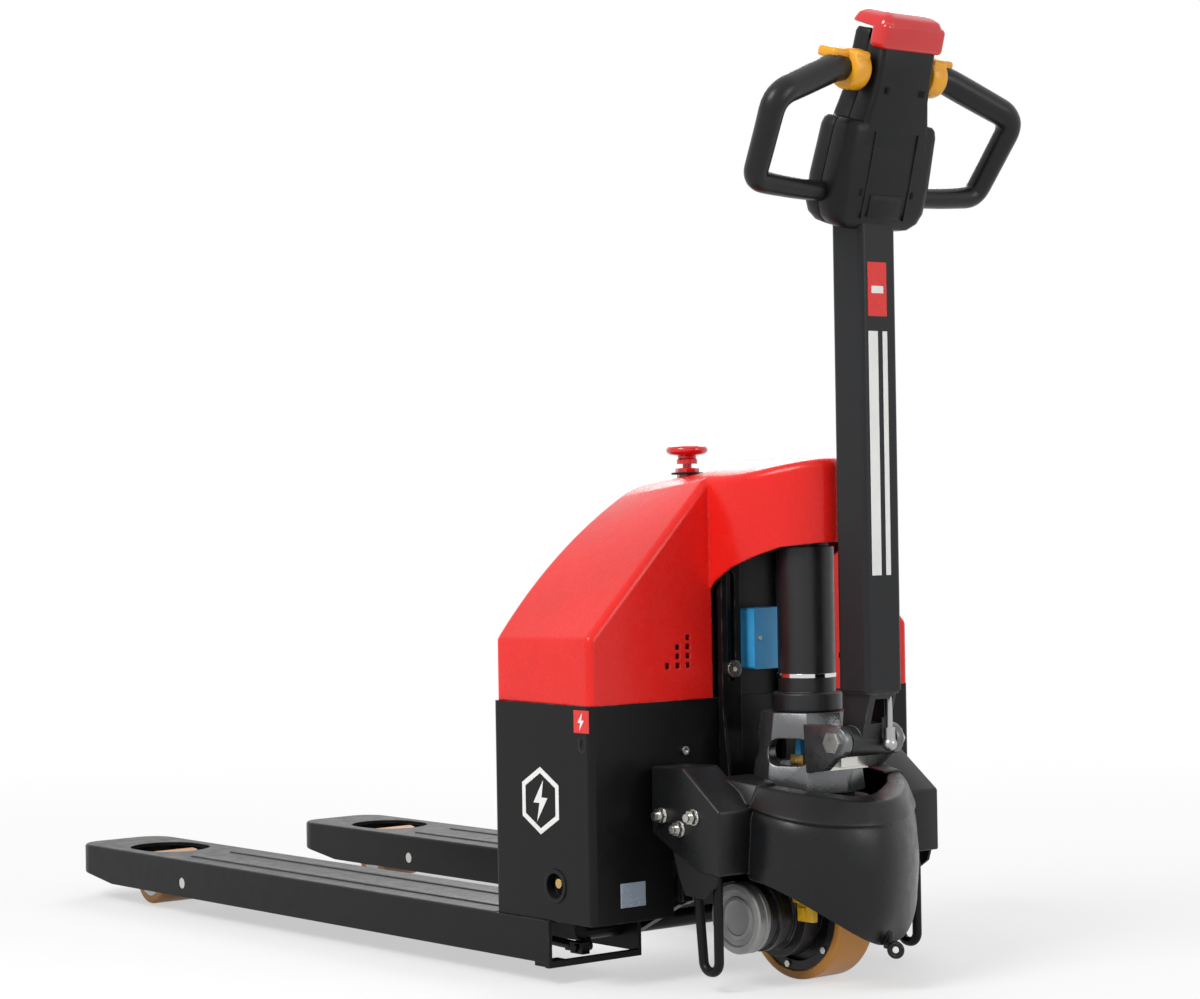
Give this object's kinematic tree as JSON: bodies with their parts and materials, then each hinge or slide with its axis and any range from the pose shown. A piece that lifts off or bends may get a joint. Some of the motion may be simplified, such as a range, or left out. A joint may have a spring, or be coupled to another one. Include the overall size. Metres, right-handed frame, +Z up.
{
  "type": "electric pallet truck",
  "caption": "Walk-behind electric pallet truck with two forks, a lifting battery frame, a steered drive wheel and a tilting tiller with loop handles.",
  "frame": {"origin": "on the floor under the middle of the bounding box", "axes": "+X from the fork tips towards the tiller and drive end, +Y across, to the left of someone who faces the tiller from the forks, +Z up"},
  "size_m": [1.57, 0.56, 1.1906],
  "materials": {
    "black_paint": "satin powder coat",
    "dark_paint": "satin paint",
    "red_plastic": "gloss",
    "black_plastic": "fine grain",
    "rubber": "matt",
    "amber_tread": "satin polyurethane",
    "zinc": "zinc plated",
    "bare_steel": "machined",
    "chrome": "polished",
    "grey_cast": "cast",
    "yellow_paint": "gloss paint",
    "amber_plastic": "gloss",
    "blue_plastic": "gloss",
    "brass": "machined",
    "green_plastic": "moulded"
  },
  "bodies": {
    "chassis": {"chassis_frame": "black_paint", "drive_bumper": "black_plastic", "ear_bolts": "zinc", "skid_loops": "black_paint", "skid_flaps": "rubber", "steering_bearing": "bare_steel"},
    "fork_frame": {"fork_left": "black_paint", "fork_right": "black_paint", "arm_pins": "zinc", "battery_box": "black_paint", "hood": "red_plastic", "battery_pack": "black_plastic", "oil_tank": "black_plastic", "pump_motor": "grey_cast", "lift_tower": "black_paint", "guide_studs": "zinc", "controller_box": "blue_plastic", "body_screws": "zinc", "stop_knob_base": "black_plastic", "charge_socket": "black_plastic", "charge_contact": "brass", "key_lock": "black_plastic"},
    "stop_button": {"stop_knob": "red_plastic"},
    "rocker": {"rocker_shaft": "black_paint"},
    "rod_right": {"push_rod_right": "black_paint"},
    "rod_left": {"push_rod_left": "black_paint"},
    "arm_right": {"roller_arm_right": "black_paint", "roller_axle_right": "zinc"},
    "arm_left": {"roller_arm_left": "black_paint", "roller_axle_left": "zinc"},
    "load_wheel_right": {"load_roller_tread_right": "amber_tread", "load_roller_core_right": "bare_steel"},
    "load_wheel_left": {"load_roller_tread_left": "amber_tread", "load_roller_core_left": "bare_steel"},
    "drive_unit": {"drive_head": "black_paint", "gearbox": "dark_paint", "drive_motor": "grey_cast", "motor_brake": "grey_cast", "motor_bracket": "yellow_paint", "pump_base": "dark_paint", "valve_block": "brass", "valve_plug": "blue_plastic", "lift_cylinder": "dark_paint", "tiller_switch": "zinc", "tiller_pin": "zinc"},
    "drive_wheel": {"wheel_tread": "amber_tread", "wheel_hub": "dark_paint", "wheel_bolts": "zinc"},
    "piston": {"piston_rod": "chrome"},
    "tiller": {"tiller_tube": "black_paint", "tiller_yoke": "dark_paint", "gas_spring": "bare_steel", "head_shell_lower": "black_plastic", "head_shell_upper": "black_plastic", "handle_loops": "rubber"},
    "throttle": {"throttle_wings": "amber_plastic"},
    "reverse_switch": {"reverse_cap": "red_plastic"},
    "lift_key": {"lift_button": "green_plastic"},
    "lower_key": {"lower_button": "black_plastic"},
    "horn_key": {"horn_button": "black_plastic"}
  },
  "joints": [
    {"name": "lift", "type": "slide", "parent": "chassis", "child": "fork_frame", "axis": [0, 0, 1], "range_m": [0, 0.11]},
    {"name": "stop_press", "type": "slide", "parent": "fork_frame", "child": "stop_button", "axis": [0, 0, -1], "range_m": [0, 0.005]},
    {"name": "rocker_turn", "type": "hinge", "parent": "fork_frame", "child": "rocker", "pos_m": [0.357, 0, 0.056], "axis": [0, 1, 0], "range_deg": [0, 49.11]},
    {"name": "rod_slide_right", "type": "slide", "parent": "fork_frame", "child": "rod_right", "axis": [-1, 0, 0], "range_m": [0, 0.0168]},
    {"name": "arm_turn_right", "type": "hinge", "parent": "fork_frame", "child": "arm_right", "pos_m": [-0.47127, -0.205, 0.048], "axis": [0, -1, 0], "range_deg": [0, 49.11]},
    {"name": "load_wheel_spin_right", "type": "hinge", "parent": "arm_right", "child": "load_wheel_right", "pos_m": [-0.621, -0.205, 0.039], "axis": [0, 1, 0], "continuous": true},
    {"name": "rod_slide_left", "type": "slide", "parent": "fork_frame", "child": "rod_left", "axis": [-1, 0, 0], "range_m": [0, 0.0168]},
    {"name": "arm_turn_left", "type": "hinge", "parent": "fork_frame", "child": "arm_left", "pos_m": [-0.47127, 0.205, 0.048], "axis": [0, -1, 0], "range_deg": [0, 49.11]},
    {"name": "load_wheel_spin_left", "type": "hinge", "parent": "arm_left", "child": "load_wheel_left", "pos_m": [-0.621, 0.205, 0.039], "axis": [0, 1, 0], "continuous": true},
    {"name": "steer", "type": "hinge", "parent": "chassis", "child": "drive_unit", "pos_m": [0.573, 0, 0.22], "axis": [0, 0, 1], "range_deg": [-90, 90]},
    {"name": "drive_spin", "type": "hinge", "parent": "drive_unit", "child": "drive_wheel", "pos_m": [0.573, 0, 0.086], "axis": [0, 1, 0], "continuous": true},
    {"name": "piston_slide", "type": "slide", "parent": "drive_unit", "child": "piston", "axis": [0, 0, 1], "range_m": [0, 0.11]},
    {"name": "tiller_tilt", "type": "hinge", "parent": "drive_unit", "child": "tiller", "pos_m": [0.673, 0, 0.302], "axis": [0, 1, 0], "range_deg": [0, 75], "stiffness_Nm_per_rad": 45, "springref_deg": -20.05},
    {"name": "throttle_turn", "type": "hinge", "parent": "tiller", "child": "throttle", "pos_m": [0.73502, 0, 1.11299], "axis": [0, 1, 0], "range_deg": [-22, 22], "stiffness_Nm_per_rad": 0.6},
    {"name": "reverse_press", "type": "slide", "parent": "tiller", "child": "reverse_switch", "axis": [-0.284, 0, -0.9588], "range_m": [0, 0.003], "stiffness_N_per_m": 1500, "springref_m": -0.002},
    {"name": "lift_press", "type": "slide", "parent": "tiller", "child": "lift_key", "axis": [0.9588, 0, -0.284], "range_m": [0, 0.003], "stiffness_N_per_m": 400, "springref_m": -0.001},
    {"name": "lower_press", "type": "slide", "parent": "tiller", "child": "lower_key", "axis": [0.9588, 0, -0.284], "range_m": [0, 0.003], "stiffness_N_per_m": 400, "springref_m": -0.001},
    {"name": "horn_press", "type": "slide", "parent": "tiller", "child": "horn_key", "axis": [0.9588, 0, -0.284], "range_m": [0, 0.003], "stiffness_N_per_m": 400, "springref_m": -0.001}
  ],
  "couplings": [
    {"joint": "rocker_turn", "follows": "lift", "rad_per_m": 7.7839},
    {"joint": "piston_slide", "follows": "lift", "ratio": 1},
    {"joint": "rod_slide_right", "follows": "lift", "ratio": 0.15097},
    {"joint": "arm_turn_right", "follows": "lift", "rad_per_m": 7.7839},
    {"joint": "rod_slide_left", "follows": "lift", "ratio": 0.15097},
    {"joint": "arm_turn_left", "follows": "lift", "rad_per_m": 7.7839}
  ]
}
